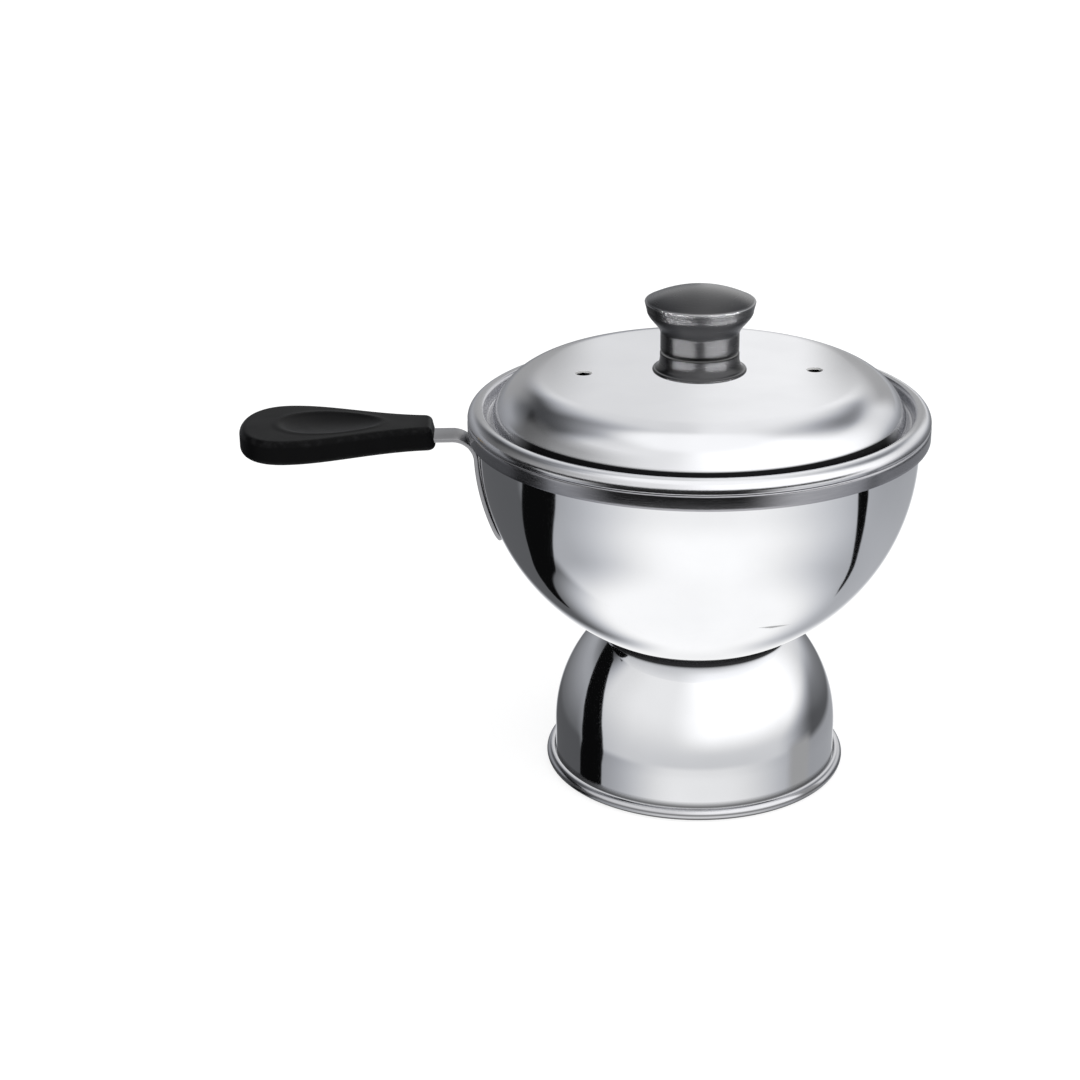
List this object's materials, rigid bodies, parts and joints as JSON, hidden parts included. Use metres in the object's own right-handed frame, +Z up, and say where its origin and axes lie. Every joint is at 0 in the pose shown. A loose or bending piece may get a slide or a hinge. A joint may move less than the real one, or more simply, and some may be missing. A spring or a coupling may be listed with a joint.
{
  "type": "puttu maker",
  "caption": "Lidded round steaming bowl on an upturned cup foot, with a strap handle and black grip, a turned lid knob and a loose perforated steam plate inside.",
  "frame": {"origin": "bottom centre of the whole object's bounding box, on the surface that it stands on", "axes": "+Z up along the bowl's axis, -X towards the handle's far end, +Y to the side"},
  "size_m": [0.2083, 0.14, 0.1537],
  "materials": {
    "polished_steel": "mirror-polished stainless steel",
    "satin_steel": "satin stainless steel",
    "black_bakelite": "matte black moulded bakelite",
    "knob_grey": "dark grey satin metallic",
    "brass": "turned brass"
  },
  "bodies": {
    "pan": {"bowl_shell": "polished_steel", "base_cup": "polished_steel", "handle_strap": "satin_steel", "handle_grip": "black_bakelite", "grip_insert": "brass", "grip_screw": "satin_steel"},
    "lid": {"lid_shell": "polished_steel", "knob_collar": "knob_grey", "lid_knob": "knob_grey", "knob_insert": "brass", "knob_washer": "satin_steel", "knob_screw": "satin_steel"},
    "plate": {"steam_plate": "satin_steel"}
  },
  "joints": [
    {"name": "lid_lift", "type": "slide", "parent": "pan", "child": "lid", "axis": [0, 0, 1], "range_m": [0, 0.08]},
    {"name": "plate_lift", "type": "slide", "parent": "pan", "child": "plate", "axis": [0, 0, 1], "range_m": [0, 0.062]}
  ]
}
